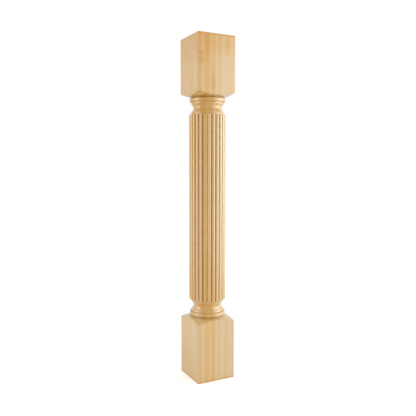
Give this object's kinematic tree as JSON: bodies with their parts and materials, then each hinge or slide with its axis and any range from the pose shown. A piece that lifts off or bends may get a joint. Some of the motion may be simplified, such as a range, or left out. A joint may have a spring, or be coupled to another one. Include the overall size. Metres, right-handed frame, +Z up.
{
  "type": "reeded wooden post",
  "caption": "Square wooden post turned between its two blocks, with a reeded round shaft and turned mouldings, that stands under a counter, shelf or rail.",
  "frame": {"origin": "centre of the post's square underside, which stands on the floor", "axes": "+Z up the post's length; +X and +Y square to the faces of its two blocks"},
  "size_m": [0.127, 0.127, 1.073],
  "materials": {
    "clear_finished_wood": "pale honey hardwood glued up from staves, clear satin finish"
  },
  "bodies": {
    "root": {"reeded_post": "clear_finished_wood"}
  },
  "joints": []
}
